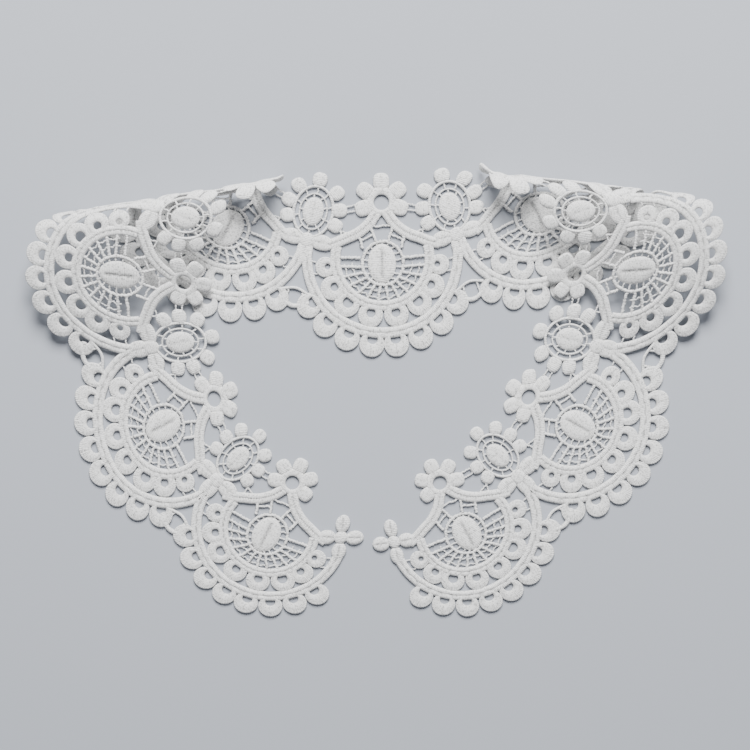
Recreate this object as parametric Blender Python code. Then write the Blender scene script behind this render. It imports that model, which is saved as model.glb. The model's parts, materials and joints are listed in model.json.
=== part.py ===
"""Guipure lace collar, laid on a table with its two fronts folded over the back.

The collar is one curved strip of joined motifs: nine fans, each with an eyelet flower
at the neck edge, and between neighbours a leaf cross, a medallion and a small edge link.
It is drawn flat as it was made, in millimetres, and then laid: each side is rolled over
at one fold, slopes down to the table and ends in a tab beside the other front.

Run with blender --background --python part.py, or from the text editor.
"""

import bmesh
import bpy
import numpy as np

MM = 0.001

# The lace, in millimetres
WALL = 1.5  # thickness of the worked lace
SEAM = 0.3  # gap between two neighbouring motifs
BACK_OVAL = (2.53, 51.48)  # where the oval of the back fan lies, from the middle of the whole collar

# The cut: from the back fan outwards, the distance to the next fan and how far the strip turns
PITCH = {"left": (63.8, 64.1, 62.0, 61.6), "right": (64.7, 65.2, 63.2, 62.8)}
TURN = {"left": (28.0, 33.6, 35.3, 37.7), "right": (32.1, 37.5, 36.2, 32.7)}
BACK_TILT = 0.84  # degrees that the whole strip leans to the left

# The lay: one fold a side. It crosses the line 75 mm out from the back fan at "height"
FOLD_OUT = 75.0
FOLDS = {
    "left": {"height": 20.1, "bearing": -9.5, "neck_roll": 7.4, "edge_roll": 6.6},
    "right": {"height": 23.7, "bearing": -6.4, "neck_roll": 6.9, "edge_roll": 6.9},
}
ROLL_SPAN = (-25.0, 60.0)  # along the fold: where neck_roll holds, and how far on edge_roll does
LANDING = 65.0  # cloth from the roll to where the front lies on the table
FOLD_START = {  # the back lies flat out to here
    "out": 33.0,
    "reach": 9.0,  # and the fold is full this much further out
    "front": 20.0,  # twice this far past the fold it is the front, folded all along
}

# The lace gives a little where it is folded: how far it moves outwards and up, in plan
EASE_REACH = 20.0
EASE_FADE = 40.0  # no ease at the middle of the back, all of it this far out
EASES = {  # station, rise above the fan's oval, moved outwards, moved up
    "left": (
        (0.5, 5.0, 0.8, -0.7),
        (1.0, 0.0, -3.8, 0.8),
        (1.0, 24.0, 1.4, -0.6),
        (1.5, 5.0, 16.3, -2.3),
        (2.0, 0.0, 11.0, -0.3),
        (2.0, 23.0, 2.0, 0.1),
        (2.5, 8.0, -1.3, 0.1),
        (3.5, 8.0, 0.0, -3.0),
    ),
    "right": (
        (0.5, 5.0, 0.2, -0.1),
        (1.0, 0.0, -6.8, 2.2),
        (1.0, 24.0, 5.1, 1.0),
        (1.5, 5.0, 24.2, -2.0),
        (2.0, 0.0, 9.0, -0.7),
        (2.0, 23.0, 5.5, 4.3),
        (2.5, 8.0, -2.4, -2.0),
        (3.5, 8.0, -2.5, -2.0),
    ),
}
DROOP = {"left": 3.4, "right": 3.2}  # how far the second flower hangs below the folded front
DROOP_REACH = 11.0

# The motifs. Each fan: how far its scallops reach and its flower rises, as shares of the back fan's
FANS = {
    "back": {"reach": 1.01, "rise": 1.0},
    "left_1": {"reach": 1.02, "rise": 1.0},
    "left_2": {"reach": 0.97, "rise": 0.94},
    "left_3": {"reach": 0.94, "rise": 0.94},
    "left_4": {"reach": 0.88, "rise": 0.94},
    "right_1": {"reach": 1.03, "rise": 1.0},
    "right_2": {"reach": 0.95, "rise": 0.94},
    "right_3": {"reach": 0.95, "rise": 0.94},
    "right_4": {"reach": 0.89, "rise": 0.94},
}
FAN_BODY_R = 32.6
FAN_BODY_Y = 2.5
SCALLOPS_A_SIDE = 4
SCALLOP_R = 4.95
SCALLOP_RING_R = 35.6
SCALLOP_FIRST = 8.0  # degrees from the fan's axis
SCALLOP_STEP = 16.6
NECK_ARC = {"x": 23.4, "y": 30.8, "r": 21.2}  # the hollow in the neck edge beside each flower
CROSS_CLEAR_R = 10.4  # the fan stops this far from the middle of a leaf cross

FLOWER_Y = 24.2
EYELET_R = 3.05
FLOWER_RING_R = 5.4
PETALS = 5
PETAL_OUT = 8.6
PETAL_R = 3.3
PETAL_STEP = 54.0
FLOWER_CLEAR = 0.7  # what is beside a flower stops this far from its petals

CROSS_Y = 5.8
CROSS_LEAVES = (  # x, y, half length across, half length up
    (-5.7, 0.6, 4.1, 3.1),
    (5.7, 0.6, 4.1, 3.1),
    (0.0, -4.4, 3.4, 5.0),
    (0.0, 0.0, 3.3, 3.3),
)

MEDALLION_Y = 17.1
MEDALLION_RING = (7.8, 10.5)
MEDALLION_PETALS = (  # degrees from the axis, distance from the middle
    (0.0, 13.6),
    (33.5, 12.9),
    (68.5, 11.3),
    (106.0, 10.7),
)
MEDALLION_PETAL_R = 2.9
MEDALLION_CLEAR = 0.9  # the medallion stops this far from the leaves of its cross

LINK_Y = -17.4
LINK_HALF = (6.0, 4.6)
LINK_CLEAR = 0.5  # gap between the link and the fans beside it

TAB_LEAF_OUT = 5.8
TAB_LEAF_HALF = (3.7, 3.0)
TAB_MIDDLE_R = 2.8

# How finely each kind of piece is divided. Points: round it, or in spans of degrees from the bottom
# up each side. Rings: where it is folded, and where it lies flat
LAST_NOTCH = SCALLOP_FIRST + SCALLOP_STEP * (SCALLOPS_A_SIDE - 0.5)
FACETS = {
    "fan": {
        "spans": ((LAST_NOTCH, 4 * SCALLOPS_A_SIDE), (110.0, 5), (164.6, 4), (180.0, 3)),
        "folded": 4,
        "flat": 1,
    },
    "flower": {"spans": ((45.0, 2), (180.0, 10)), "folded": 2, "flat": 1},
    "medallion": {"spans": ((24.0, 4), (56.0, 2), (180.0, 12)), "folded": 2, "flat": 1},
    "cross": {"around": 20, "folded": 2, "flat": 1},
    "link": {"around": 16, "folded": 2, "flat": 1},
    "tab": {"around": 24, "folded": 1, "flat": 1},
}
FOLDED_STATIONS = (0.9, 2.1)  # between these the strip is curved

COTTON = {"colour": (0.86, 0.86, 0.85, 1.0), "roughness": 0.85}


def clear_scene():
    for obj in list(bpy.data.objects):
        bpy.data.objects.remove(obj, do_unlink=True)


def smooth_step(x):
    x = np.clip(x, 0.0, 1.0)
    return x * x * (3.0 - 2.0 * x)


def running_sum(rate, along):
    """The area under rate, from the first point to each."""
    steps = 0.5 * (rate[1:] + rate[:-1]) * np.diff(along)
    return np.concatenate([[0.0], np.cumsum(steps)])


def strip_spine(side):
    """The line through the fans' ovals, flat: its direction is the sum of its turning."""
    knots = np.concatenate([[0.0], np.cumsum(PITCH[side])])
    along = np.linspace(-10.0, knots[-1] + 45.0, 700)
    turning = np.radians(TURN[side]) / np.array(PITCH[side])
    heading = running_sum(np.interp(along, 0.5 * (knots[1:] + knots[:-1]), turning), along)
    heading = heading - np.interp(0.0, along, heading)
    out = running_sum(np.cos(heading), along)
    up = running_sum(np.sin(heading), along)
    out = out - np.interp(0.0, along, out)
    up = up - np.interp(0.0, along, up)
    return {"knots": knots, "along": along, "heading": heading, "out": out, "up": up}


SPINES = {side: strip_spine(side) for side in PITCH}


def station(side, number):
    """Where a motif sits on the spine: a whole number is a fan, a half is between two fans."""
    spine = SPINES[side]
    knots = spine["knots"]
    last = len(knots) - 1
    at = np.interp(number, range(last + 1), knots)
    at = at + max(number - last, 0.0) * (knots[-1] - knots[-2])
    here = [np.interp(at, spine["along"], spine[name]) for name in ("out", "up", "heading")]
    return np.array(here[:2]), float(here[2])


def flat_points(side, number, points):
    """A motif's own points in the flat cut: outwards from the back fan, and up."""
    middle, heading = station(side, number)
    points = np.asarray(points, float)
    turn = np.array([[np.cos(heading), np.sin(heading)], [-np.sin(heading), np.cos(heading)]])
    return middle + points @ turn


def landing_path(run):
    """How far along the ground and how high the front is, run past the roll."""
    x = np.clip(run / LANDING, 0.0, 1.0)
    fall = 1.0 - smooth_step(x)
    steps = np.linspace(0.0, 1.0, 80)
    slope = 13.5 / LANDING * 6.0 * steps * (1.0 - steps)
    ground = LANDING * running_sum(np.sqrt(1.0 - slope**2), steps)
    return np.where(run < LANDING, np.interp(x, steps, ground), ground[-1] + run - LANDING), fall


def ease(side, flat):
    """The plan shift: the average of the eases near a point, weighted by a bell curve."""
    rows = np.array(EASES[side])
    centres = np.array([flat_points(side, row[0], [(0.0, row[1])])[0] for row in rows])
    apart = ((flat[:, None, :] - centres) ** 2).sum(axis=2)
    weight = np.exp(-apart / (2.0 * EASE_REACH**2))
    moved = weight @ rows[:, 2:] / (weight.sum(axis=1) + 0.02)[:, None]
    return moved * smooth_step(flat[:, 0] / EASE_FADE)[:, None]


def droop(side, flat):
    centre = flat_points(side, 2.0, [(0.0, FLOWER_Y + 4.0)])[0]
    apart = ((flat - centre) ** 2).sum(axis=1)
    return DROOP[side] * np.exp(-apart / (2.0 * DROOP_REACH**2))


def middle_surface(side, flat):
    """The laid mid-surface: flat, then half round the roll, then down to the table."""
    lean = np.radians(BACK_TILT) * (1.0 if side == "right" else -1.0)
    flat = flat @ np.array([[np.cos(lean), np.sin(lean)], [-np.sin(lean), np.cos(lean)]])
    fold = FOLDS[side]
    bearing = np.radians(fold["bearing"])
    along_fold = np.array([np.cos(bearing), np.sin(bearing)])
    past_fold = np.array([-np.sin(bearing), np.cos(bearing)])
    crossing = np.array([FOLD_OUT, fold["height"]])
    along = (flat - crossing) @ along_fold
    past = (flat - crossing) @ past_fold
    share = np.clip((along - ROLL_SPAN[0]) / ROLL_SPAN[1], -0.3, 1.3)
    roll = fold["neck_roll"] * (1.0 - share) + fold["edge_roll"] * share
    angle = np.clip(past / roll, 0.0, np.pi)
    ground, fall = landing_path(np.clip(past - np.pi * roll, 0.0, None))
    inside = np.where(past > 0.0, roll * np.sin(angle), past)
    inside = np.where(past > np.pi * roll, -ground, inside)
    height = roll * (1.0 - np.cos(angle)) * np.where(past > np.pi * roll, fall, 1.0)
    further_out = (flat[:, 0] - FOLD_START["out"]) / FOLD_START["reach"]
    begun = smooth_step(np.maximum(further_out, past / FOLD_START["front"] - 1.0))
    inside = past + begun * (inside - past)
    height = begun * height
    plan = crossing + along[:, None] * along_fold + inside[:, None] * past_fold
    plan = plan + ease(side, flat)
    height = height - np.minimum(droop(side, flat), 0.5 * height)
    sign = 1.0 if side == "right" else -1.0
    return np.stack(
        [plan[:, 0] * sign + BACK_OVAL[0], plan[:, 1] + BACK_OVAL[1], height + 0.5 * WALL], axis=1
    )


def laid(side, flat, lift):
    """Points lifted off the laid mid-surface along its normal, the same on both sides."""
    step = 0.05
    here = middle_surface(side, flat)
    across = middle_surface(side, flat + (step, 0.0)) - here
    up = middle_surface(side, flat + (0.0, step)) - here
    normal = np.cross(across, up)
    normal = normal / np.linalg.norm(normal, axis=1)[:, None]
    if side == "left":
        normal = -normal
    return (here + normal * np.asarray(lift)[:, None]) * MM


def far_exit(angles, middle, discs):
    """How far a ray from the middle goes before it leaves the last of some ellipses."""
    rays = np.stack([np.cos(angles), np.sin(angles)], axis=1)
    furthest = np.zeros(len(angles))
    for x, y, half_x, half_y in discs:
        scale = np.array([1.0 / half_x, 1.0 / half_y])
        start = (np.array(middle) - (x, y)) * scale
        ray = rays * scale
        a = (ray**2).sum(axis=1)
        b = ray @ start
        inside = b**2 - a * (start @ start - 1.0)
        leaves = (-b + np.sqrt(np.maximum(inside, 0.0))) / a
        furthest = np.where((inside > 0.0) & (leaves > furthest), leaves, furthest)
    return furthest


def near_entry(angles, middle, holes, reach):
    """How far a ray from the middle goes before it meets one of some round hollows."""
    rays = np.stack([np.cos(angles), np.sin(angles)], axis=1)
    nearest = np.array(reach, float)
    for x, y, radius in holes:
        start = np.array(middle) - (x, y)
        b = rays @ start
        inside = b**2 - (start @ start - radius**2)
        enters = -b - np.sqrt(np.maximum(inside, 0.0))
        meets = (inside > 0.0) & (enters > 0.0)
        nearest = np.where(meets & (enters < nearest), enters, nearest)
    return nearest


def plate(name, side, number, middle, angles, reach, rings, material, hole=0.0, scale=(1.0, 1.0)):
    """A wall of even thickness round a middle: rings of points, lifted to each face.

    scale is (below, above): shares by which the motif's own y is drawn in."""
    count = len(reach)
    shares = np.linspace(0.0 if hole == 0.0 else 1.0e-9, 1.0, rings + 1)
    radii = hole + shares[:, None] * (reach - hole)
    if hole == 0.0:
        radii = radii[1:]
    points = np.stack([radii * np.cos(angles), radii * np.sin(angles)], axis=2).reshape(-1, 2)
    if hole == 0.0:
        points = np.concatenate([points, [(0.0, 0.0)]])
    points = points + middle
    points[:, 1] *= np.where(points[:, 1] < 0.0, scale[0], scale[1])
    flat = flat_points(side, number, points)
    if number == 0.0:
        outwards = flat[:, 0]
        mirrored = flat * (-1.0, 1.0)
        top = np.where(
            outwards[:, None] >= 0.0,
            laid("right", flat, np.full(len(flat), 0.5 * WALL)),
            laid("left", mirrored, np.full(len(flat), 0.5 * WALL)),
        )
        bottom = top - (0.0, 0.0, WALL * MM)
    else:
        top = laid(side, flat, np.full(len(flat), 0.5 * WALL))
        bottom = laid(side, flat, np.full(len(flat), -0.5 * WALL))
    size = len(flat)
    faces = []
    loops = len(radii)
    for i in range(count):
        j = (i + 1) % count
        for k in range(loops - 1):
            quad = (k * count + i, k * count + j, (k + 1) * count + j, (k + 1) * count + i)
            faces.append(quad)
            faces.append(tuple(v + size for v in reversed(quad)))
        rim = (loops - 1) * count
        faces.append((rim + i, rim + j, rim + j + size, rim + i + size))
        if hole == 0.0:
            faces.append((size - 1, i, j))
            faces.append((2 * size - 1, j + size, i + size))
        else:
            faces.append((j, i, i + size, j + size))
    mesh = bpy.data.meshes.new(name)
    mesh.from_pydata([tuple(p) for p in np.concatenate([top, bottom])], [], faces)
    tidy = bmesh.new()
    tidy.from_mesh(mesh)
    bmesh.ops.triangulate(tidy, faces=tidy.faces[:])
    bmesh.ops.recalc_face_normals(tidy, faces=tidy.faces[:])
    tidy.to_mesh(mesh)
    tidy.free()
    mesh.materials.append(material)
    obj = bpy.data.objects.new(name, mesh)
    bpy.context.scene.collection.objects.link(obj)
    return obj


def ray_angles(kind):
    """The rays that an outline is drawn on: even ones, or spans of degrees from the bottom."""
    if "around" in FACETS[kind]:
        return np.linspace(0.0, 2.0 * np.pi, FACETS[kind]["around"], endpoint=False)
    half = [np.zeros(1)]
    start = 0.0
    for end, steps in FACETS[kind]["spans"]:
        half.append(np.linspace(start, end, steps + 1)[1:])
        start = end
    half = np.concatenate(half)
    return np.radians(np.concatenate([half, -half[-2:0:-1]]) - 90.0)


def rings_of(kind, number):
    folded = FOLDED_STATIONS[0] <= number <= FOLDED_STATIONS[1]
    return FACETS[kind]["folded" if folded else "flat"]


def cotton(name):
    material = bpy.data.materials.new(name)
    material.use_nodes = True
    shader = material.node_tree.nodes["Principled BSDF"]
    shader.inputs["Base Color"].default_value = COTTON["colour"]
    shader.inputs["Roughness"].default_value = COTTON["roughness"]
    shader.inputs["Metallic"].default_value = 0.0
    return material


def scallop_discs():
    """The scallops stand on a ring round the fan, evenly to both sides of its axis."""
    steps = SCALLOP_FIRST + SCALLOP_STEP * np.arange(SCALLOPS_A_SIDE)
    degrees = np.radians(np.concatenate([-90.0 - steps, -90.0 + steps]))
    x = SCALLOP_RING_R * np.cos(degrees)
    y = FAN_BODY_Y + SCALLOP_RING_R * np.sin(degrees)
    return [(px, py, SCALLOP_R, SCALLOP_R) for px, py in zip(x, y)]


def fan_of(side, number):
    return FANS["back" if number == 0.0 else f"{side}_{int(number)}"]


def flower_petals(grow):
    """The discs of a flower's petals, each grown by a gap: none points down at the fan."""
    turns = np.radians(90.0 + PETAL_STEP * (np.arange(PETALS) - PETALS // 2))
    x = PETAL_OUT * np.cos(turns)
    y = PETAL_OUT * np.sin(turns)
    return [(px, py, PETAL_R + grow, PETAL_R + grow) for px, py in zip(x, y)]


def seen_from(side, number, beside, point):
    """A point of a neighbouring motif, in the own coordinates of the motif at number."""
    middle, heading = station(side, number)
    own = np.array([[np.cos(heading), -np.sin(heading)], [np.sin(heading), np.cos(heading)]])
    return (flat_points(side, beside, [point])[0] - middle) @ own


def beside_fan(side, number, fan, y):
    """A point on the axis of the motifs before and after a fan, in the fan's own undrawn shape."""
    if number > 0.0:
        points = [seen_from(side, number, number + step, (0.0, y)) for step in (-0.5, 0.5)]
    else:
        points = [seen_from("left", 0.0, 0.5, (0.0, y)) * (-1.0, 1.0)]
        points.append(seen_from("right", 0.0, 0.5, (0.0, y)))
    return [point / (1.0, fan["reach" if point[1] < 0.0 else "rise"]) for point in points]


def short_of_line(angles, middle, first, second, reach):
    """How far a ray goes before it is half a seam short of the line through two points."""
    along = np.array(second) - first
    away = np.array([along[1], -along[0]]) / np.hypot(*along)
    apart = (np.array(first) - middle) @ away
    away = away * np.sign(apart)
    towards = np.stack([np.cos(angles), np.sin(angles)], axis=1) @ away
    limit = (abs(apart) - 0.5 * SEAM) / np.maximum(towards, 1.0e-9)
    return np.where(towards > 0.0, np.minimum(reach, limit), reach)


def make_fan(name, side, number, material):
    fan = FANS[name]
    angles = ray_angles("fan")
    middle = (0.0, FAN_BODY_Y)
    discs = [(0.0, FAN_BODY_Y, FAN_BODY_R, FAN_BODY_R)] + scallop_discs()
    reach = far_exit(angles, middle, discs)
    hollows = [(sign * NECK_ARC["x"], NECK_ARC["y"], NECK_ARC["r"]) for sign in (-1.0, 1.0)]
    hollows.append((0.0, FLOWER_Y, FLOWER_RING_R + FLOWER_CLEAR))
    hollows += [(x, FLOWER_Y + y, radius) for x, y, radius, _ in flower_petals(FLOWER_CLEAR)]
    hollows += [(x, y, CROSS_CLEAR_R) for x, y in beside_fan(side, number, fan, CROSS_Y)]
    reach = near_entry(angles, middle, hollows, reach)
    halfway = zip(beside_fan(side, number, fan, 0.0), beside_fan(side, number, fan, LINK_Y))
    for first, second in halfway:
        reach = short_of_line(angles, middle, first, second, reach)
    scale = (fan["reach"], fan["rise"])
    rings = rings_of("fan", number)
    return plate(name + "_fan", side, number, middle, angles, reach, rings, material, scale=scale)


def make_flower(name, side, number, material):
    """Five petals round a ringed eyelet."""
    angles = ray_angles("flower")
    discs = flower_petals(0.0) + [(0.0, 0.0, FLOWER_RING_R, FLOWER_RING_R)]
    reach = far_exit(angles, (0.0, 0.0), discs)
    middle = (0.0, FLOWER_Y)
    scale = (1.0, FANS[name]["rise"])
    rings = rings_of("flower", number)
    name = name + "_flower"
    return plate(name, side, number, middle, angles, reach, rings, material, EYELET_R, scale)


def make_medallion(name, side, number, material):
    """An oval ring with seven petals, open towards its leaf cross."""
    angles = ray_angles("medallion")
    discs = [(0.0, 0.0, *MEDALLION_RING)]
    for degrees, out in MEDALLION_PETALS:
        for sign in (-1.0, 1.0):
            a = np.radians(90.0 + sign * degrees)
            discs.append((out * np.cos(a), out * np.sin(a), MEDALLION_PETAL_R, MEDALLION_PETAL_R))
    reach = far_exit(angles, (0.0, 0.0), discs)
    beside = []
    for x, y, _, tall in CROSS_LEAVES:
        beside.append((x, y + CROSS_Y - MEDALLION_Y, tall + MEDALLION_CLEAR))
    for fan_number in (number - 0.5, number + 0.5):
        rise = fan_of(side, fan_number)["rise"]
        for x, y, radius, _ in flower_petals(FLOWER_CLEAR):
            there = seen_from(side, number, fan_number, (x, (FLOWER_Y + y) * rise))
            beside.append((there[0], there[1] - MEDALLION_Y, radius))
    reach = near_entry(angles, (0.0, 0.0), beside, reach)
    rings = rings_of("medallion", number)
    return plate(name, side, number, (0.0, MEDALLION_Y), angles, reach, rings, material)


def make_cross(name, side, number, material):
    angles = ray_angles("cross")
    reach = far_exit(angles, (0.0, 0.0), CROSS_LEAVES)
    rings = rings_of("cross", number)
    return plate(name, side, number, (0.0, CROSS_Y), angles, reach, rings, material)


def make_link(name, side, number, material):
    """The narrow web between the end scallops of two fans."""
    angles = ray_angles("link")
    reach = far_exit(angles, (0.0, 0.0), [(0.0, 0.0, *LINK_HALF)])
    last = np.radians(SCALLOP_FIRST + SCALLOP_STEP * (SCALLOPS_A_SIDE - 1))
    ends = []
    for step in (-0.5, 0.5):
        beside = number + step
        fan = fan_of(side, beside)
        towards = np.array([-np.sign(step) * np.sin(last), -np.cos(last)])
        for out, radius in ((SCALLOP_RING_R, SCALLOP_R), (0.0, FAN_BODY_R)):
            x, y = out * towards + (0.0, FAN_BODY_Y)
            px, py = seen_from(side, number, beside, (x, y * fan["reach"]))
            ends.append((px, py - LINK_Y, radius + LINK_CLEAR))
    reach = near_entry(angles, (0.0, 0.0), ends, reach)
    rings = rings_of("link", number)
    return plate(name, side, number, (0.0, LINK_Y), angles, reach, rings, material)


def make_tab(name, side, number, material):
    """Four leaves in a cross, at the front end of the strip."""
    angles = ray_angles("tab")
    long, wide = TAB_LEAF_HALF
    discs = [(0.0, 0.0, TAB_MIDDLE_R, TAB_MIDDLE_R)]
    discs += [(sign * TAB_LEAF_OUT, 0.0, long, wide) for sign in (-1.0, 1.0)]
    discs += [(0.0, sign * TAB_LEAF_OUT, wide, long) for sign in (-1.0, 1.0)]
    reach = far_exit(angles, (0.0, 0.0), discs)
    rings = rings_of("tab", number)
    return plate(name, side, number, (0.0, CROSS_Y), angles, reach, rings, material)


def build():
    clear_scene()
    make_fan("back", "right", 0.0, cotton("lace_back_fan"))
    make_flower("back", "right", 0.0, cotton("lace_back_flower"))
    for side in PITCH:
        for i in range(1, 5):
            name = f"{side}_{i}"
            make_fan(name, side, float(i), cotton(f"lace_{name}_fan"))
            make_flower(name, side, float(i), cotton(f"lace_{name}_flower"))
            between = i - 0.5
            make_medallion(name + "_medallion", side, between, cotton(f"lace_{name}_medallion"))
            make_cross(name + "_cross", side, between, cotton(f"lace_{name}_cross"))
            make_link(name + "_link", side, between, cotton(f"lace_{name}_link"))
        make_tab(side + "_tab", side, 4.5, cotton(f"lace_{side}_tab"))


build()
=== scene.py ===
# Looks of the lace collar: each motif is worked up from satin-stitched bands, pads and threads.
# Motifs are drawn flat in millimetres, then laid and folded as the solids are
import json

import bmesh
import bpy
import numpy as np
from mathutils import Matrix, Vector

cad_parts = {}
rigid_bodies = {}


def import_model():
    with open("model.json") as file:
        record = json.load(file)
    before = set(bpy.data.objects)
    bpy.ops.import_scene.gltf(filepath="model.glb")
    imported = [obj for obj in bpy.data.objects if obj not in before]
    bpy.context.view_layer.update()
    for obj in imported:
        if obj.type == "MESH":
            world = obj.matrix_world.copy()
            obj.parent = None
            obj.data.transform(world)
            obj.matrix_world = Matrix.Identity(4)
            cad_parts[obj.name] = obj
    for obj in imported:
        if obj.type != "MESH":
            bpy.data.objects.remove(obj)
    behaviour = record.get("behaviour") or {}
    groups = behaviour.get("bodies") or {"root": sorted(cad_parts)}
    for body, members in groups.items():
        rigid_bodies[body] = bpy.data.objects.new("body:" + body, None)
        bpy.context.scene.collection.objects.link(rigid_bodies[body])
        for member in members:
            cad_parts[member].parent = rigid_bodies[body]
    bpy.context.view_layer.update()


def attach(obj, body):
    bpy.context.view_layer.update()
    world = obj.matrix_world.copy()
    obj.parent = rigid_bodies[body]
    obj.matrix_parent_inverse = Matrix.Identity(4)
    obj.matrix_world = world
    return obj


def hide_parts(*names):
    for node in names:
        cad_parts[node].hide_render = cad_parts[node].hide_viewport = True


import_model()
print("frame loaded")

mm = 0.001

# How the strip is cut and laid, the same as the solids; lengths in millimetres, angles in degrees
lay = {
    "wall": 1.5,
    "backOval": (2.53, 51.48),
    "pitch": {"left": (63.8, 64.1, 62.0, 61.6), "right": (64.7, 65.2, 63.2, 62.8)},
    "turn": {"left": (28.0, 33.6, 35.3, 37.7), "right": (32.1, 37.5, 36.2, 32.7)},
    "spineBefore": 10.0,
    "spineAfter": 45.0,
    "spineSteps": 700,
    "backTilt": 0.84,
    "foldOut": 75.0,
    "folds": {  # the fold line's height and bearing, the roll's radius at the neck and at the edge
        "left": (20.1, -9.5, 7.4, 6.6),
        "right": (23.7, -6.4, 6.9, 6.9),
    },
    "rollSpan": (-25.0, 60.0),
    "rollShares": (-0.3, 1.3),
    "landing": 65.0,
    "landingSteps": 80,
    "easeReach": 20.0,
    "easeFade": 40.0,
    "easeFloor": 0.02,
    "eases": {  # station, rise, moved outwards, moved up
        "left": (
            (0.5, 5, 0.8, -0.7), (1, 0, -3.8, 0.8), (1, 24, 1.4, -0.6), (1.5, 5, 16.3, -2.3),
            (2, 0, 11.0, -0.3), (2, 23, 2.0, 0.1), (2.5, 8, -1.3, 0.1), (3.5, 8, 0.0, -3.0),
        ),
        "right": (
            (0.5, 5, 0.2, -0.1), (1, 0, -6.8, 2.2), (1, 24, 5.1, 1.0), (1.5, 5, 24.2, -2.0),
            (2, 0, 9.0, -0.7), (2, 23, 5.5, 4.3), (2.5, 8, -2.4, -2.0), (3.5, 8, -2.5, -2.0),
        ),
    },
    "droop": {"left": 3.4, "right": 3.2},
    "droopAt": (2.0, 28.2),  # station, rise
    "droopReach": 11.0,
    "top": 13.5,
    "foldStart": (33.0, 9.0, 20.0),  # flat out to here, full fold so far on, the front's own depth
}
# How far each fan's scallops reach and its flower rises, as shares of the plain motif
fans = {
    "back": (1.01, 1.0),
    "left_1": (1.02, 1.0), "left_2": (0.97, 0.94),
    "left_3": (0.94, 0.94), "left_4": (0.88, 0.94),
    "right_1": (1.03, 1.0), "right_2": (0.95, 0.94),
    "right_3": (0.95, 0.94), "right_4": (0.89, 0.94),
}


# 3x^2 - 2x^3, with x kept between 0 and 1
def smoothStep(x):
    x = np.clip(x, 0.0, 1.0)
    return x * x * (3.0 - 2.0 * x)


# Running total of each step times the mean of the rates at its two ends
def runningSum(rate, along):
    return np.concatenate([[0.0], np.cumsum(0.5 * (rate[1:] + rate[:-1]) * np.diff(along))])


# The strip's own line: heading = running total of the turning, place = running total of the
# heading's cosine and sine, all counted from the back fan
def stripSpine(side):
    knots = np.concatenate([[0.0], np.cumsum(lay["pitch"][side])])
    along = np.linspace(-lay["spineBefore"], knots[-1] + lay["spineAfter"], lay["spineSteps"])
    turning = np.radians(lay["turn"][side]) / np.array(lay["pitch"][side])
    heading = runningSum(np.interp(along, 0.5 * (knots[1:] + knots[:-1]), turning), along)
    heading = heading - np.interp(0.0, along, heading)
    out = runningSum(np.cos(heading), along)
    up = runningSum(np.sin(heading), along)
    return knots, along, heading, out - np.interp(0.0, along, out), up - np.interp(0.0, along, up)


spines = {side: stripSpine(side) for side in ("left", "right")}


# A motif's middle and heading on the flat strip, going on evenly past the last knot
def station(side, number):
    knots, along, heading, out, up = spines[side]
    last = len(knots) - 1
    beyond = max(number - last, 0.0) * (knots[-1] - knots[-2])
    at = np.interp(number, range(last + 1), knots) + beyond
    middle = np.array([np.interp(at, along, out), np.interp(at, along, up)])
    return middle, float(np.interp(at, along, heading))


# A motif's points on the flat strip: middle + point turned by the heading
def flatPoints(side, number, points):
    middle, heading = station(side, number)
    c, s = np.cos(heading), np.sin(heading)
    return middle + np.asarray(points, float) @ np.array([[c, s], [-s, c]])


# A neighbour's point in this motif's own axes: (place - middle) turned back by the heading
def seenFrom(side, number, beside, point):
    middle, heading = station(side, number)
    c, s = np.cos(heading), np.sin(heading)
    return (flatPoints(side, beside, [point])[0] - middle) @ np.array([[c, -s], [s, c]])


# How far the cloth gives: mean of the rows' moves, weighted by exp(-distance^2 / 2 reach^2) and
# faded out towards the back
def ease(side, flat):
    rows = np.array(lay["eases"][side])
    centres = np.array([flatPoints(side, row[0], [(0.0, row[1])])[0] for row in rows])
    away = ((flat[:, None, :] - centres) ** 2).sum(axis=2)
    weight = np.exp(-away / (2.0 * lay["easeReach"] ** 2))
    moved = weight @ rows[:, 2:] / (weight.sum(axis=1) + lay["easeFloor"])[:, None]
    return moved * smoothStep(flat[:, 0] / lay["easeFade"])[:, None]


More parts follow.
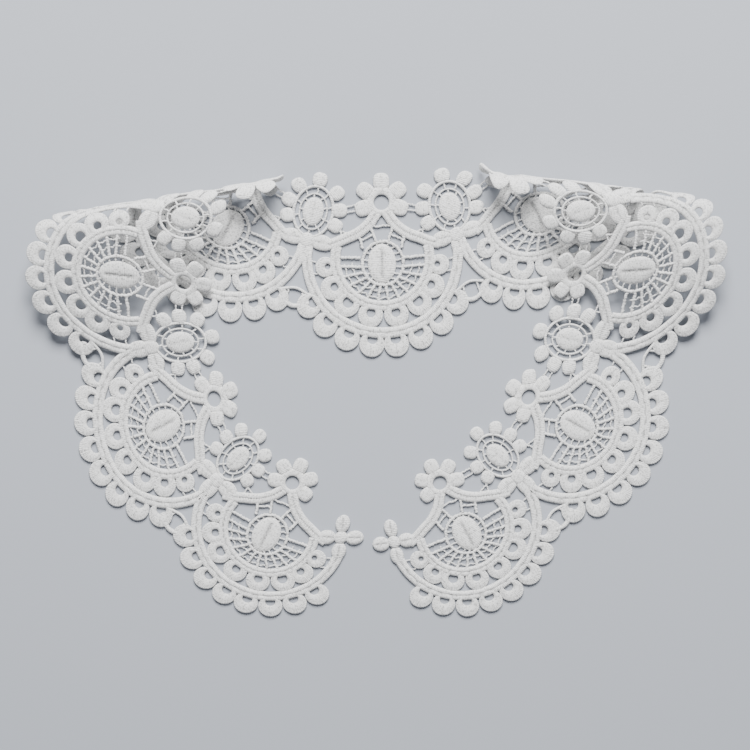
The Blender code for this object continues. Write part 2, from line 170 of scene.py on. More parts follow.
# The middle of the laid cloth over a flat point. Short of the fold line it lies flat. Past it, it
# goes half round the roll: radius * sine on, radius * (1 - cosine) up. Then it runs back and falls
# by a smooth step to the table. The back part folds only from foldStart on
def middleSurface(side, flat):
    sign = 1.0 if side == "right" else -1.0
    lean = np.radians(lay["backTilt"]) * sign
    flat = flat @ np.array([[np.cos(lean), np.sin(lean)], [-np.sin(lean), np.cos(lean)]])
    height, bearing, neckRoll, edgeRoll = lay["folds"][side]
    bearing = np.radians(bearing)
    alongFold = np.array([np.cos(bearing), np.sin(bearing)])
    pastFold = np.array([-np.sin(bearing), np.cos(bearing)])
    crossing = np.array([lay["foldOut"], height])
    along = (flat - crossing) @ alongFold
    past = (flat - crossing) @ pastFold
    share = np.clip((along - lay["rollSpan"][0]) / lay["rollSpan"][1], *lay["rollShares"])
    roll = neckRoll * (1.0 - share) + edgeRoll * share
    angle = np.clip(past / roll, 0.0, np.pi)
    run = np.clip(past - np.pi * roll, 0.0, None)
    steps = np.linspace(0.0, 1.0, lay["landingSteps"])
    slope = lay["top"] / lay["landing"] * 6.0 * steps * (1.0 - steps)
    ground = lay["landing"] * runningSum(np.sqrt(1.0 - slope**2), steps)
    reached = np.interp(run / lay["landing"], steps, ground)
    reached = np.where(run < lay["landing"], reached, ground[-1] + run - lay["landing"])
    inside = np.where(past > 0.0, roll * np.sin(angle), past)
    inside = np.where(past > np.pi * roll, -reached, inside)
    fall = np.where(past > np.pi * roll, 1.0 - smoothStep(run / lay["landing"]), 1.0)
    up = roll * (1.0 - np.cos(angle)) * fall
    start, reach, front = lay["foldStart"]
    begun = smoothStep(np.maximum((flat[:, 0] - start) / reach, past / front - 1.0))
    inside = past + begun * (inside - past)
    up = begun * up
    plan = crossing + along[:, None] * alongFold + inside[:, None] * pastFold + ease(side, flat)
    number, rise = lay["droopAt"]
    away = ((flat - flatPoints(side, number, [(0.0, rise)])[0]) ** 2).sum(axis=1)
    hang = lay["droop"][side] * np.exp(-away / (2.0 * lay["droopReach"] ** 2))
    up = up - np.minimum(hang, 0.5 * up)
    return np.stack([plan[:, 0] * sign + lay["backOval"][0], plan[:, 1] + lay["backOval"][1],
                     up + 0.5 * lay["wall"]], axis=1)


# Laid point + unit normal * lift
def laid(side, flat, lift):
    step = 0.05
    here = middleSurface(side, flat)
    across = middleSurface(side, flat + (step, 0.0)) - here
    up = middleSurface(side, flat + (0.0, step)) - here
    normal = np.cross(across, up)
    normal = normal / np.linalg.norm(normal, axis=1)[:, None]
    return here + (normal if side == "right" else -normal) * lift[:, None]


# The parts a motif is worked from. Each gives its points (x, y, lift), its stitch measures (along
# the stitches' run, across it, depth of crease, which sets the painted crease shade) and its faces
work = {
    "under": 0.45,  # how far everything reaches below the middle of the wall
    "bandHigh": 0.8,
    "grooveWide": 0.45,
    "grooveDots": 5.5,
    "rowWidth": 0.6,  # the two rows of a double band, as shares of its width
    "rowOut": 0.205,
    "rowGroove": 0.2,
    "padHigh": 1.05,
    "padGroove": (0.11, 0.82, 6.0),  # half width, where it ends and how fast, as shares of the pad
    "petalHigh": 0.95,
    "lobeEdge": (0.76, 0.06),  # the stitched line near a disc's rim and its half width, as shares
    "lobeDots": 22.0,
    "threadR": 0.4,
    "threadUnder": 0.28,
    "threadStep": 0.45,
    "knotEvery": 1.4,
    "knotSwell": (0.85, 0.5),
    "wobble": 0.11,
    "areaShares": (0.31, 0.99),
}
chance = np.random.default_rng(5)


# Quads between neighbouring rows; columns go round, and rows too if closed
def gridFaces(rows, columns, closedRows=False):
    i = np.arange(rows if closedRows else rows - 1)[:, None]
    j = np.arange(columns)[None, :]
    nextI = (i + 1) % rows
    nextJ = (j + 1) % columns
    quads = np.stack(np.broadcast_arrays(i * columns + j, i * columns + nextJ,
                                         nextI * columns + nextJ, nextI * columns + j), axis=2)
    return quads.reshape(-1, 4)


# A flattened tube along a path: half width * cos(t) across, height * sin(t) up. A groove is only
# painted shade: exp(-(distance / width)^2), dotted by a cosine along the path
def band(path, width, high=None, closed=False, sides=10, offset=0.0, under=None, groove=0.0):
    path = np.asarray(path, float)
    high = work["bandHigh"] if high is None else high
    under = work["under"] if under is None else under
    if closed:
        tangent = np.roll(path, -1, axis=0) - np.roll(path, 1, axis=0)
    else:
        tangent = np.gradient(path, axis=0)
    tangent = tangent / np.linalg.norm(tangent, axis=1)[:, None]
    side = np.stack([-tangent[:, 1], tangent[:, 0]], axis=1)
    path = path + side * offset
    steps = np.linalg.norm(np.diff(path, axis=0), axis=1)
    along = np.concatenate([[0.0], np.cumsum(steps)])[:, None]
    t = np.linspace(0.0, 2.0 * np.pi, sides, endpoint=False)
    width = np.broadcast_to(np.asarray(width, float), (len(path),))
    high = np.broadcast_to(np.asarray(high, float), (len(path),))
    across = 0.5 * width[:, None] * np.cos(t)
    lift = np.where(np.sin(t) > 0.0, high[:, None] * np.sin(t), under * np.sin(t))
    flat = path[:, None, :] + side[:, None, :] * across[:, :, None]
    points = np.concatenate([flat, lift[:, :, None]], axis=2)
    dots = 0.5 + 0.5 * np.cos(work["grooveDots"] * along)
    deep = np.exp(-(((across - groove) / work["grooveWide"]) ** 2)) * dots * (groove != 0.0)
    marks = np.stack(np.broadcast_arrays(along, across, deep), axis=2)
    faces = gridFaces(len(path), sides, closed).tolist()
    if not closed:
        faces.append(list(range(sides))[::-1])
        faces.append(list(range((len(path) - 1) * sides, len(path) * sides)))
    return points.reshape(-1, 3), marks.reshape(-1, 3), faces


# Two bands side by side, with the groove between them and painted shade along it
def twoRow(path, width):
    return [band(path, work["rowWidth"] * width, sides=14, offset=sign * work["rowOut"] * width,
                 groove=-sign * work["rowGroove"] * width) for sign in (-1.0, 1.0)]


# A crowned oval: height * (1 - share^4)^0.6, pinched down along its groove. A square below 1
# makes its corners fuller: half width * |cos(t)|^square
def pad(middle, half, turn=0.0, high=None, groove=0.0, rings=7, around=36, square=1.0):
    high = work["padHigh"] if high is None else high
    narrow, end, fade = work["padGroove"]
    share = np.sin(np.linspace(0.0, 0.5 * np.pi, rings + 1))[1:]
    t = np.linspace(0.0, 2.0 * np.pi, around, endpoint=False)
    x = half[0] * share[:, None] * np.sign(np.cos(t)) * np.abs(np.cos(t)) ** square
    y = half[1] * share[:, None] * np.sign(np.sin(t)) * np.abs(np.sin(t)) ** square
    crown = (np.clip(1.0 - share**4, 0.0, 1.0) ** 0.6)[:, None]
    line = np.exp(-((x / (narrow * half[0])) ** 2)) * smoothStep((end - np.abs(y) / half[1]) * fade)
    upper = np.stack([x, y, high * crown * (1.0 - groove * line)], axis=2).reshape(-1, 3)
    lower = np.stack([x, y, -work["under"] * np.broadcast_to(crown, x.shape)], axis=2)
    points = np.concatenate([upper, [(0.0, 0.0, high * (1.0 - groove))],
                             lower[:-1].reshape(-1, 3), [(0.0, 0.0, -work["under"])]])
    rim = (rings - 1) * around
    low = len(upper) + 1
    # The groove's painted shade, set by how deep the groove is pinched
    deep = np.zeros(len(points))
    deep[: low - 1] = min(2.0 * groove, 1.0) * line.ravel()
    deep[low - 1] = min(2.0 * groove, 1.0)
    marks = np.concatenate([points[:, [1, 0]], deep[:, None]], axis=1)
    faces = gridFaces(rings, around).tolist()
    j = np.arange(around)
    k = (j + 1) % around
    faces += np.stack([np.full(around, low - 1), j, k], axis=1).tolist()
    faces += (gridFaces(rings - 1, around) + low).tolist()
    faces += np.stack([np.full(around, len(points) - 1), j + low, k + low], axis=1).tolist()
    last = low + (rings - 2) * around
    faces += np.stack([last + j, last + k, rim + k, rim + j], axis=1).tolist()
    c, s = np.cos(turn), np.sin(turn)
    flat = points[:, :2] @ np.array([[c, s], [-s, c]]) + middle
    return np.concatenate([flat, points[:, 2:]], axis=1), marks, faces


# A padded disc with a hole towards its inner side: hole + (rim - hole) * share across, height *
# sin(section)^0.7 up. The hole is (how far inwards, half along the ray, half across it)
def lobe(middle, radius, hole, turn=0.0, high=None, around=40, sides=18, edging=0.3):
    high = work["bandHigh"] if high is None else high
    t = np.linspace(0.0, 2.0 * np.pi, around, endpoint=False)[:, None]
    section = np.linspace(0.0, 2.0 * np.pi, sides, endpoint=False)[None, :]
    share = 0.5 - 0.5 * np.cos(section)
    rim = np.stack([radius * np.cos(t), radius * np.sin(t)], axis=2)
    inner = np.stack([hole[1] * np.cos(t) - hole[0], hole[2] * np.sin(t)], axis=2)
    flat = inner + (rim - inner) * share[:, :, None]
    rise = np.abs(np.sin(section)) ** 0.7
    edge, wide = work["lobeEdge"]
    crease = np.exp(-(((share - edge) / wide) ** 2))
    upper = high * rise * (1.0 - edging * crease)
    lift = np.where(np.sin(section) > 0.0, upper, -work["under"] * rise)
    c, s = np.cos(turn), np.sin(turn)
    flat = flat @ np.array([[c, s], [-s, c]]) + middle
    lift = np.broadcast_to(lift[:, :, None], flat.shape[:2] + (1,))
    points = np.concatenate([flat, lift], axis=2)
    # Painted shade along the stitched line near the rim, dotted round the disc
    deep = 1.6 * edging * crease * (0.5 + 0.5 * np.cos(t * work["lobeDots"]))
    marks = np.stack(np.broadcast_arrays(t * radius * 0.8, share * radius, deep), axis=2)
    return points.reshape(-1, 3), marks.reshape(-1, 3), gridFaces(around, sides, True).tolist()


# (cos, sin) of an angle in degrees
def ray(degrees):
    a = np.radians(degrees)
    return np.array([np.cos(a), np.sin(a)])


# middle + radius * (cos, sin) of the degrees from start to end
def arc(middle, radius, start, end, count=40):
    t = np.radians(np.linspace(start, end, count))
    rx, ry = np.broadcast_to(radius, (2,))
    return np.stack([middle[0] + rx * np.cos(t), middle[1] + ry * np.sin(t)], axis=1)


# The same all the way round, one step short of closing
def oval(middle, radius, count=48):
    return arc(middle, radius, 0.0, 360.0 * (1.0 - 1.0 / count), count)


# A smooth path through a few points: a cubic through each four neighbours
def curve(points, count=40):
    p = np.array(points, float)
    p = np.concatenate([[2 * p[0] - p[1]], p, [2 * p[-1] - p[-2]]])
    t = np.linspace(0.0, len(points) - 1.000001, count)
    i = t.astype(int)
    f = (t - i)[:, None]
    a, b, c, d = p[i], p[i + 1], p[i + 2], p[i + 3]
    square, cube = 2 * a - 5 * b + 4 * c - d, 3 * b - a - 3 * c + d
    return 0.5 * (2 * b + (c - a) * f + square * f**2 + cube * f**3)


# A thin tube that wanders a little, its radius swelling with |sin|^3 at every knot
def knotted(path, r, closed=False):
    path = np.asarray(path, float)
    path = path + chance.normal(0.0, work["wobble"], path.shape)
    steps = np.linalg.norm(np.diff(path, axis=0), axis=1)
    along = np.concatenate([[0.0], np.cumsum(steps)])
    thin, more = work["knotSwell"]
    wave = np.sin(np.pi * along / work["knotEvery"] + chance.uniform(0.0, 3.0))
    swell = thin + more * np.abs(wave) ** 3
    return band(path, 2.0 * r * swell, r * swell, closed, sides=6, under=work["threadUnder"])


# A knotted tube straight from one point to another
def thread(first, second, r=work["threadR"]):
    first, second = np.array(first, float), np.array(second, float)
    count = max(int(np.linalg.norm(second - first) / work["threadStep"]), 4)
    s = np.linspace(0.0, 1.0, count)[:, None]
    return knotted(first + (second - first) * s, r)


# middle + (point - middle) * size
def resize(parts, middle, size):
    for points, _, _ in parts:
        points[:, :2] = middle + (points[:, :2] - middle) * size


fan = {  # each oval or arc as middle, radius, width
    "oval": ((-0.1, -0.4), (5.7, 7.9)),
    "ovalGroove": 0.4,
    "webRing": ((0.3, -0.3), (8.2, 8.8)),
    "webWidth": 1.25,
    "webTicks": 18,
    "tickR": 0.3,
    "inner": ((0.2, 1.6), 18.9, 4.1),
    "innerEnds": (-196.0, 16.0),
    "loops": (  # degrees from straight down, radius, the hole's radius
        (13.0, 5.0, 1.75), (39.0, 5.1, 2.1), (60.7, 4.9, 1.6), (83.0, 4.1, 1.1),
    ),
    "loopOut": 23.1,
    "loopHoleIn": 0.9,
    "loopHigh": 0.75,
    "tiesFrom": 80.0,  # loops further round than this are tied to the outer band by two threads
    "tieLean": 5.0,
    "tieR": 0.3,
    "outer": ((0.3, 2.5), 30.6, 4.4),
    "outerEnds": 95.0,
    "scallopPairs": 4,
    "scallopOut": 35.6,
    "scallopR": 5.05,
    "scallopHole": (2.25, 1.95, 2.05),
    "scallopFirst": 8.0,
    "scallopStep": 16.6,
    "scallopHigh": 0.8,
    "neckArc": ((1.9, 20.2), (4.9, 15.9), (8.3, 12.9), (11.5, 11.1), (14.7, 9.9), (19.4, 8.1),
                (23.4, 7.3)),
    "neckArcWidth": 4.4,
    "neckThreads": (  # from, to, radius; each has its mirror image
        ((18.0, 2.6), (8.6, 1.9), 0.6),
        ((4.6, 14.6), (2.4, 8.4), 0.55),
        ((9.4, 11.6), (7.6, 5.6), 0.62),
        ((8.4, 9.0), (3.2, 11.4), 0.4),
    ),
    "neckRung": ((-3.9, 14.8), (-1.6, 14.4), (0.4, 14.9), (3.9, 14.6)),
    "neckRungR": 0.4,
    "spokes": 12,
    "spokeSpread": (-178.0, 176.0),  # first angle, angle covered
    "spokeR": 0.58,
    "rungs": (12.3, 15.1),
    "rungR": 0.27,
    "rungEnds": (-176.0, -4.0),
    "rungUp": 0.9,
    "rungWave": (0.3, 23.0),
    "bandIn": 1.5,  # how far threads end short of a band's middle
}


# A fan: oval and web inside the inner band, loops, outer band, scallops, and the two neck arcs
def fanParts():
    f = fan
    ovalMiddle, ovalHalf = np.array(f["oval"][0]), np.array(f["oval"][1])
    webMiddle, webHalf = np.array(f["webRing"][0]), np.array(f["webRing"][1])
    made = [pad(ovalMiddle, ovalHalf, groove=f["ovalGroove"], rings=10, around=52)]
    made.append(knotted(oval(webMiddle, webHalf, 90), 0.5 * f["webWidth"], closed=True))
    for i in range(f["webTicks"]):
        way = ray(360.0 * (i + 0.5) / f["webTicks"])
        edge = ovalMiddle + way * ovalHalf * 0.95
        made.append(thread(edge, webMiddle + way * webHalf, f["tickR"]))
    centre, radius, width = f["inner"]
    centre = np.array(centre)
    made += twoRow(arc(centre, radius, *f["innerEnds"], 90), width)
    outerCentre, outerRadius, outerWidth = f["outer"]
    outerCentre = np.array(outerCentre)
    for degrees, r, hole in f["loops"]:
        for sign in (-1.0, 1.0):
            at = -90.0 + sign * degrees
            middle = centre + f["loopOut"] * ray(at)
            holeShape = (f["loopHoleIn"], hole, hole)
            made.append(lobe(middle, r, holeShape, np.radians(at), high=f["loopHigh"]))
            if degrees < f["tiesFrom"]:
                continue
            for lean in (-f["tieLean"], f["tieLean"]):
                near = centre + (f["loopOut"] + r - 0.5) * ray(at + lean)
                far = outerCentre + (outerRadius - f["bandIn"]) * ray(at + lean)
                made.append(thread(near, far, f["tieR"]))
    first, last = -90.0 - f["outerEnds"], -90.0 + f["outerEnds"]
    made += twoRow(arc(outerCentre, outerRadius, first, last, 110), outerWidth)
    for i in range(f["scallopPairs"]):
        for sign in (-1.0, 1.0):
            at = -90.0 + sign * (f["scallopFirst"] + f["scallopStep"] * i)
            middle = outerCentre + f["scallopOut"] * ray(at)
            made.append(lobe(middle, f["scallopR"], f["scallopHole"], np.radians(at),
                             high=f["scallopHigh"]))
    for sign in (-1.0, 1.0):
        made += twoRow(curve(f["neckArc"], 50) * (sign, 1.0), f["neckArcWidth"])
        for start, end, r in f["neckThreads"]:
            made.append(thread(np.array(start) * (sign, 1.0), np.array(end) * (sign, 1.0), r))
    made.append(knotted(curve(f["neckRung"], 20), f["neckRungR"]))
    first, spread = f["spokeSpread"]
    for i in range(f["spokes"]):
        way = ray(first + spread * (i + 0.5) / f["spokes"])
        made.append(thread(webMiddle + way * webHalf, centre + (radius - f["bandIn"]) * way,
                           f["spokeR"]))
    t = np.radians(np.linspace(*f["rungEnds"], 100))
    deep, often = f["rungWave"]
    for i, r in enumerate(f["rungs"]):
        wave = r + deep * np.sin(t * often + 2.0 * i)
        path = np.stack([wave * np.cos(t), f["rungUp"] + wave * np.sin(t)], axis=1)
        made.append(knotted(path, f["rungR"]))
    return made


flower = {
    "middle": (0.0, 24.2),
    "eyelet": 3.05,
    "eyeletIn": 0.5,
    "ring": 5.9,
    "ringHigh": 0.85,
    "step": 53.5,
    "petalOut": (8.3, 7.9, 7.4),  # the middle petal, the next two, the last two
    "petal": (3.25, 3.6),
    "petalGroove": 0.06,
    "petalSquare": 0.75,
    "frontSize": 0.93,
}


# An eyelet flower: a ring with a round hole and five petals at even angles
def flowerParts(size):
    f = flower
    middle = np.array(f["middle"])
    hole = (f["eyeletIn"], f["eyelet"], f["eyelet"])
    made = [lobe(middle + (0.0, f["eyeletIn"]), f["ring"], hole, 0.5 * np.pi, f["ringHigh"], 48,
                 edging=0.0)]
    for i in range(-2, 3):
        at = 90.0 + f["step"] * i
        made.append(pad(middle + f["petalOut"][abs(i)] * ray(at), f["petal"],
                        np.radians(at - 90.0), work["petalHigh"], f["petalGroove"],
                        square=f["petalSquare"]))
    resize(made, middle, size)
    return made


medallion = {
    "middle": (0.0, 17.9),
    "oval": (4.25, 6.0),
    "ovalGroove": 0.12,
    "cord": (5.5, 7.5),
    "cordWidth": 0.75,
    "cordHigh": 0.5,
    "ring": (7.85, 10.6),
    "ringWidth": 1.2,
    "ringHigh": 0.8,
    "ticks": (9, 10),
    "tickR": (0.3, 0.32),
    "petals": (  # degrees from straight up, distance from the middle
        (0.0, 13.5), (39.0, 12.2), (75.0, 10.6), (111.0, 10.5),
    ),
    "petal": (2.95, 3.1),
    "petalSquare": 0.82,
    "sizes": {  # by station: across and along, as shares of the plain medallion
        0.5: (1.0, 0.97), 1.5: (1.03, 0.84), 2.5: (1.0, 0.95), 3.5: (0.91, 0.9),
    },
    "tiesFrom": 60.0,  # petals further round than this are tied to the neighbour by two threads
    "tieR": 0.3,
    "tieSpread": 1.1,
    "flowerEnd": ((9.3, 22.4), (0.0, 1.3)),  # where the ties end, and how far each goes to its side
    "arcEnd": ((14.0, 10.8), (2.0, -0.8)),
}


# A medallion: grooved oval, cord, ring and seven petals, tied to the flowers and fans beside it
def medallionParts(side, number):
    m = medallion
    middle, cord = np.array(m["middle"]), np.array(m["cord"])
    made = [pad(middle, m["oval"], groove=m["ovalGroove"], rings=8, around=44)]
    made.append(band(oval(middle, cord, 60), m["cordWidth"], m["cordHigh"], True, sides=6))
    made.append(band(oval(middle, m["ring"], 60), m["ringWidth"], m["ringHigh"], True))
    for i in range(m["ticks"][0]):
        way = ray(360.0 * i / m["ticks"][0])
        made.append(thread(middle + way * m["oval"] * 0.96, middle + way * cord, m["tickR"][0]))
    for i in range(m["ticks"][1]):
        way = ray(360.0 * i / m["ticks"][1] + 90.0)
        made.append(thread(middle + way * cord, middle + way * m["ring"], m["tickR"][1]))
    tips = []
    for degrees, out in m["petals"]:
        for sign in ((1.0,) if degrees == 0.0 else (-1.0, 1.0)):
            at = 90.0 + sign * degrees
            made.append(pad(middle + out * ray(at), m["petal"], np.radians(at - 90.0),
                            work["petalHigh"], square=m["petalSquare"]))
            tips.append((middle + (out + 2.0) * ray(at) * m["sizes"][number], sign, degrees))
    resize(made, middle, m["sizes"][number])
    for tip, sign, degrees in tips:
        if degrees < m["tiesFrom"]:
            continue
        beside = number - 0.5 if sign > 0 else number + 0.5
        rise = fans["back" if beside == 0.0 else f"{side}_{int(beside)}"][1]
        for spread in (-1.0, 1.0):
            if degrees < 90.0:
                (x, y), (dx, dy) = m["flowerEnd"]
                goal = (sign * (x + spread * dx), (y + spread * dy) * rise)
            else:
                (x, y), (dx, dy) = m["arcEnd"]
                goal = (sign * (x + spread * dx), y + spread * dy)
            made.append(thread(tip + (0.0, spread * m["tieSpread"]),
                               seenFrom(side, number, beside, goal), m["tieR"]))
    return made


cross = {
    "y": 5.8,
    "leaves": (  # middle, half width and length, turn
        ((-6.0, 0.6), (3.2, 4.7), 90.0),
        ((6.0, 0.6), (3.2, 4.7), 90.0),
        ((0.0, -4.2), (3.4, 5.0), 0.0),
    ),
    "leafHigh": 0.85,
    "leafGroove": 0.25,
    "dome": 3.2,
    "domeUp": 0.2,
    "domeHigh": 1.1,
}


# Three leaves round a dome, where two fans meet
def crossParts():
    made = []
    for (x, y), half, turn in cross["leaves"]:
        made.append(pad((x, cross["y"] + y), half, np.radians(turn), cross["leafHigh"],
                        cross["leafGroove"]))
    made.append(pad((0.0, cross["y"] + cross["domeUp"]), (cross["dome"], cross["dome"]),
                    high=cross["domeHigh"], around=28))
    return made


link = {
    "rows": (  # path, width
        (((-6.0, -15.4), (0.0, -13.7), (6.0, -15.4)), 1.2),
        (((-6.6, -18.4), (0.0, -21.0), (6.6, -18.4)), 1.9),
    ),
    "high": 0.7,
    "struts": (((-3.0, -14.5), (-3.3, -19.8)), ((3.0, -14.5), (3.3, -19.8))),
}


# Two bowed bands and two struts between the scalloped edges of two fans
def linkParts():
    made = [band(curve(path, 24), width, link["high"]) for path, width in link["rows"]]
    return made + [thread(start, end) for start, end in link["struts"]]


tab = {"y": 5.8, "out": 5.7, "half": (3.0, 3.7), "groove": 0.35, "dome": 2.7, "domeHigh": 1.2}


# Four leaves at right angles round a dome, at each end of the collar
def tabParts():
    made = [pad((0.0, tab["y"]), (tab["dome"], tab["dome"]), high=tab["domeHigh"], around=28)]
    for degrees in (0.0, 90.0, 180.0, 270.0):
        at = np.array([0.0, tab["y"]]) + tab["out"] * ray(degrees)
        made.append(pad(at, tab["half"], np.radians(degrees) - 0.5 * np.pi, groove=tab["groove"]))
    return made


stitch = {
    "pitch": 0.7,
    "wander": 0.9,
    "fuzz": 0.6,
    "slowScale": 420.0,
    "fineScale": 1500.0,
    "swing": 1.7,
    # painted shade in the fuzz's low spots
    "paintedPitShade": (3.0, -0.55),  # gain, floor
    "ridgeLight": (0.2, 0.8),  # share of the light that the ridges give, the rest
    # painted shade in the creases, as a share of the crease depth
    "paintedCreaseShade": 0.7,
}


# Adds an input or output to a node group
def socket(group, name, way, value=None):
    made = group.interface.new_socket(name=name, in_out=way, socket_type="NodeSocketFloat")
    if value is not None:
        made.default_value = value


# Stitch ridges: ((1 + sin(2 pi u / pitch)) / 2)^0.6, where u wanders slowly and the ridge comes and
# goes with the same slow noise. Fine noise adds fuzz to the height. Shade is painted shade: darker
# between the ridges, in the fuzz's low spots and in the creases
def satinGroup():
    group = bpy.data.node_groups.new("satinStitch", "ShaderNodeTree")
    socket(group, "Pitch", "INPUT", stitch["pitch"])
    socket(group, "Wander", "INPUT", stitch["wander"])
    socket(group, "Fuzz", "INPUT", stitch["fuzz"])
    socket(group, "Height", "OUTPUT")
    socket(group, "Shade", "OUTPUT")
    nodes, links = group.nodes, group.links
    given = nodes.new("NodeGroupInput")
    out = nodes.new("NodeGroupOutput")
    uv = nodes.new("ShaderNodeUVMap")
    uv.uv_map = "stitch"
    split = nodes.new("ShaderNodeSeparateXYZ")
    links.new(uv.outputs[0], split.inputs[0])
    place = nodes.new("ShaderNodeTexCoord")

    def noise(scale, detail):
        node = nodes.new("ShaderNodeTexNoise")
        node.inputs["Scale"].default_value = scale
        node.inputs["Detail"].default_value = detail
        links.new(place.outputs["Object"], node.inputs["Vector"])
        return node.outputs["Fac"]

    def maths(operation, *values):
        node = nodes.new("ShaderNodeMath")
        node.operation = operation
        for index, value in enumerate(values):
            if isinstance(value, (int, float)):
                node.inputs[index].default_value = value
            else:
                links.new(value, node.inputs[index])
        return node.outputs[0]

    slow = noise(stitch["slowScale"], 2.0)
    fine = noise(stitch["fineScale"], 3.0)
    wander = maths("MULTIPLY", maths("SUBTRACT", slow, 0.5), given.outputs["Wander"])
    u = maths("DIVIDE", maths("ADD", split.outputs["X"], wander), given.outputs["Pitch"])
    wave = maths("SINE", maths("MULTIPLY", u, 2.0 * np.pi))
    even = maths("POWER", maths("MULTIPLY_ADD", wave, 0.5, 0.5), 0.6)
    ridge = maths("MULTIPLY", even, maths("MULTIPLY", slow, stitch["swing"]))
    fuzz = maths("MULTIPLY", fine, given.outputs["Fuzz"])
    links.new(maths("ADD", ridge, fuzz), out.inputs["Height"])
    # Painted shade in the creases: the stored crease depth darkens the colour
    crease = nodes.new("ShaderNodeAttribute")
    crease.attribute_name = "deep"
    # Painted shade in the fuzz's low spots, and painted light on the stitch ridges with shade
    # between them
    paintedPitShade = maths("MINIMUM", maths("MULTIPLY_ADD", fine, *stitch["paintedPitShade"]), 1.0)
    lit = maths("MULTIPLY", maths("MULTIPLY_ADD", ridge, *stitch["ridgeLight"]), paintedPitShade)
    creaseShade = maths("MULTIPLY", crease.outputs["Fac"], stitch["paintedCreaseShade"])
    links.new(maths("SUBTRACT", lit, creaseShade), out.inputs["Shade"])
    return group


satin = satinGroup()
cottonLook = {
    # the lit cotton colour, and the dark colour that paints shade between stitches, in pits and in
    # creases
    "light": (0.86, 0.855, 0.84, 1.0),
    "groove": (0.20, 0.20, 0.20, 1.0),
    "bump": 0.6,
    "depth": 0.0002,
    "roughness": 0.85,
    "sheen": 0.15,
}


# White cotton: the painted shade colour (groove) + (light - groove) * shade, so the stitch and
# crease shade is painted into the base colour; matt with a little sheen
def cotton(name):
    material = bpy.data.materials.new(name)
    material.use_nodes = True
    nodes, links = material.node_tree.nodes, material.node_tree.links
    shader = nodes["Principled BSDF"]
    stitches = nodes.new("ShaderNodeGroup")
    stitches.node_tree = satin
    mix = nodes.new("ShaderNodeMix")
    mix.data_type = "RGBA"
    mix.inputs["A"].default_value = cottonLook["groove"]
    mix.inputs["B"].default_value = cottonLook["light"]
    links.new(stitches.outputs["Shade"], mix.inputs["Factor"])
    links.new(mix.outputs["Result"], shader.inputs["Base Color"])
    bump = nodes.new("ShaderNodeBump")
    bump.inputs["Strength"].default_value = cottonLook["bump"]
    bump.inputs["Distance"].default_value = cottonLook["depth"]
    links.new(stitches.outputs["Height"], bump.inputs["Height"])
    links.new(bump.outputs["Normal"], shader.inputs["Normal"])
    shader.inputs["Roughness"].default_value = cottonLook["roughness"]
    shader.inputs["Sheen Weight"].default_value = cottonLook["sheen"]
    return material


# The parts of one motif joined as one mesh and laid like its solid
def makePiece(node, side, number, parts):
    points = np.concatenate([p for p, _, _ in parts])
    marks = np.concatenate([m for _, m, _ in parts])
    faces, start = [], 0
    for p, _, f in parts:
        faces += [[v + start for v in face] for face in f]
        start += len(p)
    motif = node.removesuffix("_fan").removesuffix("_flower")
    reach, rise = fans.get(motif, (1.0, 1.0))
    points[:, 1] *= np.where(points[:, 1] < 0.0, reach, rise)
    flat = flatPoints(side, number, points[:, :2])
    lift = points[:, 2] * (-1.0 if number > 1.4 else 1.0)  # past the fold the other face is on top
    if number == 0.0:
        placed = np.where(flat[:, :1] >= 0.0, laid("right", flat, lift),
                          laid("left", flat * (-1.0, 1.0), lift))
    else:
        placed = laid(side, flat, lift)
    mesh = bpy.data.meshes.new(node + "_lace")
    mesh.from_pydata((placed * mm).tolist(), [], faces)
    shell = bmesh.new()
    shell.from_mesh(mesh)
    bmesh.ops.recalc_face_normals(shell, faces=shell.faces[:])
    shell.to_mesh(mesh)
    shell.free()
    layer = mesh.uv_layers.new(name="stitch")
    corner = np.empty(len(mesh.loops), np.int32)
    mesh.loops.foreach_get("vertex_index", corner)
    layer.data.foreach_set("uv", marks[corner, :2].astype(np.float32).ravel())
    # The crease depth, kept for the painted crease shade
    deep = mesh.attributes.new("deep", "FLOAT", "POINT")
    deep.data.foreach_set("value", marks[:, 2].astype(np.float32))
    mesh.polygons.foreach_set("use_smooth", np.ones(len(mesh.polygons), bool))
    mesh.update()
    piece = bpy.data.objects.new(node + "_lace", mesh)
    bpy.context.scene.collection.objects.link(piece)
    mesh.materials.append(cotton(node + "_cotton"))
    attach(piece, "root")
    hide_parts(node)


# Each motif made as a piece
makePiece("back_fan", "right", 0.0, fanParts())
makePiece("back_flower", "right", 0.0, flowerParts(1.0))
for side in ("left", "right"):
    for i in range(1, 5):
        between = i - 0.5
        motifs = (
            ("fan", float(i), fanParts, ()),
            ("flower", float(i), flowerParts, (1.0 if i == 1 else flower["frontSize"],)),
            ("medallion", between, medallionParts, (side, between)),
            ("cross", between, crossParts, ()),
            ("link", between, linkParts, ()),
        )
        for kind, number, build, given in motifs:
            node = f"{side}_{i}_{kind}"
            makePiece(node, side, number, build(*given))
    makePiece(side + "_tab", side, 4.5, tabParts())
total = sum(len(polygon.vertices) - 2 for piece in bpy.data.objects if piece.name.endswith("_lace")
            for polygon in piece.data.polygons)
print("lace made,", total, "triangles")

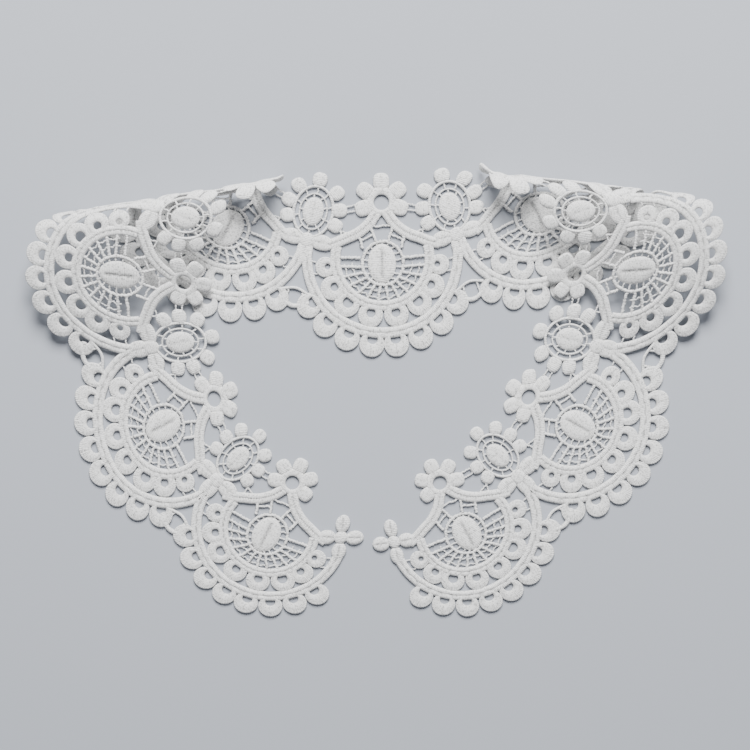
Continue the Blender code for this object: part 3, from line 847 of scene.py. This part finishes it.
room = {
    "floor": (0.36, 0.38, 0.42, 1.0),
    "floorRoughness": 0.9,
    "floorHalf": 3.0,
    "keyPlace": (0.05, 0.95, 0.95),
    "keySize": 0.7,
    "keyPower": 55.0,
    "sky": (0.9, 0.93, 1.0, 1.0),
    "skyPower": 0.3,
    "lens": 85.0,
    "sensor": 36.0,
    "seenAcross": 0.3,
    "aim": (-0.0004, 0.0061, 0.006),
}


# A plain square sheet of paper under the collar
def makeFloor():
    half = room["floorHalf"]
    corners = [(-half, -half, 0.0), (half, -half, 0.0), (half, half, 0.0), (-half, half, 0.0)]
    mesh = bpy.data.meshes.new("floor")
    mesh.from_pydata(corners, [], [(0, 1, 2, 3)])
    floor = bpy.data.objects.new("floor", mesh)
    bpy.context.scene.collection.objects.link(floor)
    material = bpy.data.materials.new("floor_paper")
    material.use_nodes = True
    shader = material.node_tree.nodes["Principled BSDF"]
    shader.inputs["Base Color"].default_value = room["floor"]
    shader.inputs["Roughness"].default_value = room["floorRoughness"]
    mesh.materials.append(material)


# One soft window light turned towards the middle, and an even sky
def makeLights():
    light = bpy.data.lights.new("window", "AREA")
    light.shape = "SQUARE"
    light.size = room["keySize"]
    light.energy = room["keyPower"]
    lamp = bpy.data.objects.new("window", light)
    lamp.location = room["keyPlace"]
    lamp.rotation_euler = (-Vector(room["keyPlace"])).to_track_quat("-Z", "Y").to_euler()
    bpy.context.scene.collection.objects.link(lamp)
    world = bpy.data.worlds.new("studio")
    world.use_nodes = True
    sky = world.node_tree.nodes["Background"]
    sky.inputs["Color"].default_value = room["sky"]
    sky.inputs["Strength"].default_value = room["skyPower"]
    bpy.context.scene.world = world


# Straight above: height = width seen * lens / sensor
def makeCamera():
    camera = bpy.data.cameras.new("camera")
    camera.lens = room["lens"]
    camera.sensor_width = room["sensor"]
    camera.dof.use_dof = False
    eye = bpy.data.objects.new("camera", camera)
    x, y, z = room["aim"]
    eye.location = (x, y, z + room["seenAcross"] * room["lens"] / room["sensor"])
    bpy.context.scene.collection.objects.link(eye)
    bpy.context.scene.camera = eye


makeFloor()
makeLights()
makeCamera()
print("floor, light and camera made")
